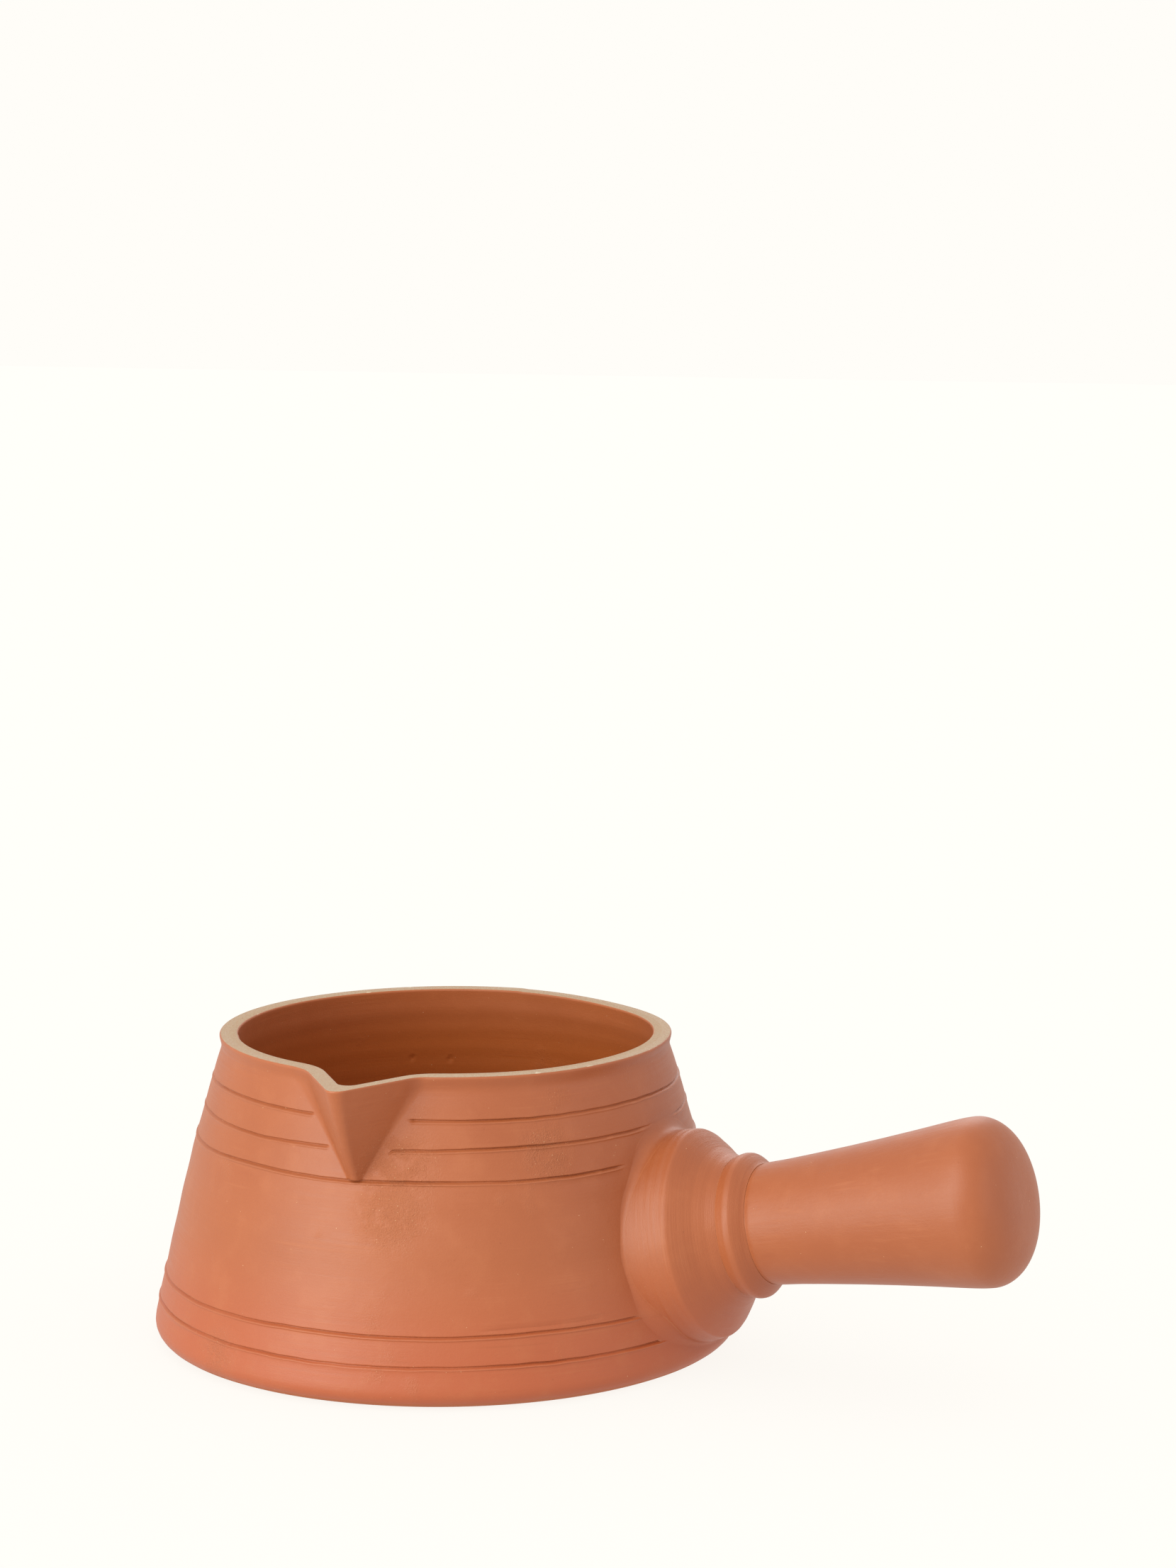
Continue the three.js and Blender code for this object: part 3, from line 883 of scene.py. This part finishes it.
def rim_dust_and_reflection(tree, place, cut, sharpness, colour):
    """The colour with pale dust on the cut rim, partly a painted reflection, and a painted highlight on
    its edges.
    """
    chatter = remap(tree, noise(tree, place, CHATTER, 3), 0.3, 0.62, 0.65, 1.0)
    # pale dust on the cut rim, partly a painted reflection of the bright surroundings
    colour = mix_colour(tree, maths(tree, "MULTIPLY", cut, chatter), colour, RIM_DUST_AND_REFLECTION)
    # painted highlight along the rim's edges
    rim_edge_highlight = maths(tree, "MULTIPLY", cut, remap(tree, sharpness, 0.53, 0.6, 0, 0.8))
    return mix_colour(tree, rim_edge_highlight, colour, RIM_EDGE_HIGHLIGHT)


def clay_material(name, marks, depth, tilt=0.0, rough_patches=(), rim=False):
    """Unglazed, burnished earthenware.

    marks is the scale of the burnishing marks along each axis, once turned by tilt to lie along
    the piece, and depth is how deep they are, in millimetres. rough_patches are [point, radius]
    where the skin was wiped open to the grit. rim is for the bowl, with its inside and its rim.
    """
    material = bpy.data.materials.new(name)
    material.use_nodes = True
    tree = material.node_tree
    shader = tree.nodes["Principled BSDF"]
    place = add_node(tree, "ShaderNodeTexCoord").outputs["Object"]
    height = add_node(tree, "ShaderNodeSeparateXYZ", {"Vector": place}).outputs["Z"]
    surface = add_node(tree, "ShaderNodeNewGeometry")
    sharpness = edge_sharpness(tree, surface)
    mottle = noise(tree, place, MOTTLE, 4, 0.6)
    lines, hairlines = burnishing(tree, place, marks, tilt)
    rough_here = roughened(tree, place, rough_patches)

    colour = fired_colour(tree, place, height, mottle, lines, rough_here)
    rough = remap(tree, lines, 0.3, 0.7, 0.43, 0.53, smooth=False)
    rough = maths(tree, "ADD", rough, maths(tree, "MULTIPLY", rough_here, 0.1))
    if rim:
        inner = inside_the_bowl(tree, place, height)
        # painted shade inside the bowl, deepening towards the floor; the inside is also rougher
        deeper = between_heights(tree, height, DEEPER_INSIDE, 0.35, 0.85)
        colour = mix_colour(tree, maths(tree, "MULTIPLY", inner, deeper), colour, CLAY_INSIDE_SHADE)
        rough = maths(tree, "ADD", rough, maths(tree, "MULTIPLY", inner, 0.12))
    # paler on edges: partly wear, partly a painted highlight where the incised lines' lower lips catch
    # the light
    colour = mix_colour(tree, remap(tree, sharpness, 0.515, 0.56, 0, 0.45), colour, CLAY_PALE)
    # darker in hollows such as the incised lines: painted shade
    colour = mix_colour(tree, remap(tree, sharpness, 0.485, 0.44, 0, 0.3), colour, CLAY_DEEP)
    if rim:
        cut = cut_rim(tree, surface, height)
        colour = rim_dust_and_reflection(tree, place, cut, sharpness, colour)
        rough = maths(tree, "ADD", rough, maths(tree, "MULTIPLY", cut, 0.18))
        rough_here = maths(tree, "MAXIMUM", rough_here, maths(tree, "MULTIPLY", cut, 0.6))
    fine_crumb = maths(tree, "MULTIPLY", scattered(tree, place, *FINE_CRUMBS), rough_here)
    crumb = maths(tree, "MAXIMUM", scattered(tree, place, *CRUMBS), fine_crumb)
    hole = scattered(tree, place, *HOLES)
    colour = mix_colour(tree, crumb, colour, GRIT)
    colour = mix_colour(tree, maths(tree, "MULTIPLY", hole, 0.5), colour, CLAY_DEEP)
    tree.links.new(colour, shader.inputs["Base Color"])
    tree.links.new(rough, shader.inputs["Roughness"])
    shader.inputs["IOR"].default_value = CLAY_IOR

    relief = maths(tree, "MULTIPLY", lines, depth)
    grain_depth = maths(tree, "MULTIPLY_ADD", rough_here, ROUGH_RELIEF, GRAIN_RELIEF)
    grain = noise(tree, place, GRAIN, 3, 0.6)
    for layer, rise in ((hairlines, HAIRLINE_SHARE * depth), (mottle, MOTTLE_RELIEF),
                        (crumb, CRUMB_RELIEF), (hole, HOLE_RELIEF), (grain, grain_depth)):
        relief = maths(tree, "ADD", relief, maths(tree, "MULTIPLY", layer, rise))
    skin = add_node(tree, "ShaderNodeBump", {"Height": relief, "Strength": 1.0, "Distance": MM})
    tree.links.new(skin.outputs["Normal"], shader.inputs["Normal"])
    return material


# ---- assembly ----

bowl, beak, slip = bowl_pieces()
bell, coil, ring, grip_piece = handle_bell(), luting_coil(), neck_ring(), grip()

# Places where the skin is wiped open to the grit, [point, radius]: beside and below the beak, over
# the handle's root, and low on the left.
WIPED = [((17, -53, 50), 12), ((17, -56, 41), 12), ((42, -33, 52), 9), ((-22, -58, 6), 9)]
# Scales of the burnishing marks along each axis, in waves per metre.
ROUND_THE_BOWL = (30, 30, 1500)
ROUND_THE_HANDLE = (1500, 30, 30)
ALONG_THE_GRIP = (25, 900, 900)
body_clay = clay_material("body_clay", ROUND_THE_BOWL, 0.04, rough_patches=WIPED, rim=True)
bell_clay = clay_material("bell_clay", ROUND_THE_HANDLE, 0.12, HANDLE_TILT)
grip_clay = clay_material("grip_clay", ALONG_THE_GRIP, 0.06, HANDLE_TILT)

PIECES = [
    (bowl, "thrown_body", "body_clay", body_clay),
    (beak, "pouring_beak", "beak_clay", body_clay),
    (slip, "beak_luting_seam", "luting_slip", body_clay),
    (bell, "handle_bell", "bell_clay", bell_clay),
    (coil, "handle_luting_coil", "luting_slip", body_clay),
    (ring, "neck_ring", "bell_clay", bell_clay),
    (grip_piece, "handle_grip", "grip_clay", grip_clay),
]
for piece, node, slot, material in PIECES:
    piece.data.materials.append(material)
    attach(piece, "root")
    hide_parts(node)

# ---- floor, light and camera ----

CREAM = (1.0, 0.982, 0.939, 1)
FLOOR_GREY = (0.12, 0.118, 0.113, 1)
FLOOR_GLOW = 0.9
FLOOR_REACH = 6.0                   # in metres


def make_floor():
    """A matt floor that glows almost as brightly as the world, so that they meet unseen."""
    mesh = bpy.data.meshes.new("floor")
    corners = [(-1, -1), (1, -1), (1, 1), (-1, 1)]
    mesh.from_pydata([(x * FLOOR_REACH, y * FLOOR_REACH, 0) for x, y in corners], [], [(0, 1, 2, 3)])
    floor = bpy.data.objects.new("floor", mesh)
    bpy.context.scene.collection.objects.link(floor)
    material = bpy.data.materials.new("floor")
    material.use_nodes = True
    shader = material.node_tree.nodes["Principled BSDF"]
    shader.inputs["Base Color"].default_value = FLOOR_GREY
    shader.inputs["Roughness"].default_value = 1.0
    shader.inputs["Specular IOR Level"].default_value = 0.0
    shader.inputs["Emission Color"].default_value = CREAM
    shader.inputs["Emission Strength"].default_value = FLOOR_GLOW
    mesh.materials.append(material)


def make_world():
    world = bpy.data.worlds.new("studio")
    world.use_nodes = True
    background = world.node_tree.nodes["Background"]
    background.inputs["Color"].default_value = CREAM
    background.inputs["Strength"].default_value = 1.0
    bpy.context.scene.world = world


VIEW_TURN = math.radians(26.5)      # the camera stands this far round towards the handle


def from_camera_side(right, away, up):
    """A place given as seen from the camera: right, away from it and up, in millimetres."""
    turned = Matrix.Rotation(VIEW_TURN, 3, "Z") @ Vector((right, away, up))
    return turned * MM


CAMERA_PLACE = (32.1, -847.5, 243.3)
CAMERA_PITCH = math.radians(7.955)  # how far it looks down
CAMERA_SENSOR = 36
CAMERA_LENS = 87.66


def make_camera():
    data = bpy.data.cameras.new("camera")
    data.sensor_width = CAMERA_SENSOR
    data.lens = CAMERA_LENS
    camera = bpy.data.objects.new("camera", data)
    camera.location = from_camera_side(*CAMERA_PLACE)
    camera.rotation_euler = (math.pi / 2 - CAMERA_PITCH, 0, VIEW_TURN)
    bpy.context.scene.collection.objects.link(camera)
    bpy.context.scene.camera = camera


LIGHT_DISTANCE = 1000.0
LIGHT_AIM = (20, 0, 35)             # the middle of the pitcher, from the camera's side
WHITE = (1.0, 1.0, 1.0)
GREENISH = (0.97, 1.1, 1.05)        # the light from the left is slightly green

# Name, degrees to the right of the camera, degrees up, size in metres, power in watts, colour.
LIGHTS = [
    ("low_key", -50, 10, 0.6, 5.2, GREENISH),
    ("high_key", -42, 40, 0.6, 4.2, GREENISH),
    ("front", -5, 38, 0.45, 1.3, WHITE),
    ("right", 65, 20, 0.45, 0.7, WHITE),
    ("back", 167, 30, 0.45, 1.75, WHITE),
]


def make_light(name, side, rise, size, power, colour):
    """A square soft light that lights only the pitcher and is shaded only by it."""
    lamp = bpy.data.lights.new(name, "AREA")
    lamp.size = size
    lamp.energy = power
    lamp.color = colour
    light = bpy.data.objects.new(name, lamp)
    side, rise = math.radians(side), math.radians(rise)
    away = LIGHT_DISTANCE * math.cos(rise)
    light.location = from_camera_side(away * math.sin(side), -away * math.cos(side),
                                      LIGHT_DISTANCE * math.sin(rise))
    towards = from_camera_side(*LIGHT_AIM) - light.location
    light.rotation_euler = towards.to_track_quat("-Z", "Y").to_euler()
    light.visible_camera = False
    light.light_linking.receiver_collection = pitcher
    light.light_linking.blocker_collection = pitcher
    bpy.context.scene.collection.objects.link(light)


make_floor()
make_world()
pitcher = bpy.data.collections.new("pitcher")
for piece, *_ in PIECES:
    pitcher.objects.link(piece)
for settings in LIGHTS:
    make_light(*settings)
make_camera()
bpy.context.scene.view_settings.view_transform = "Standard"
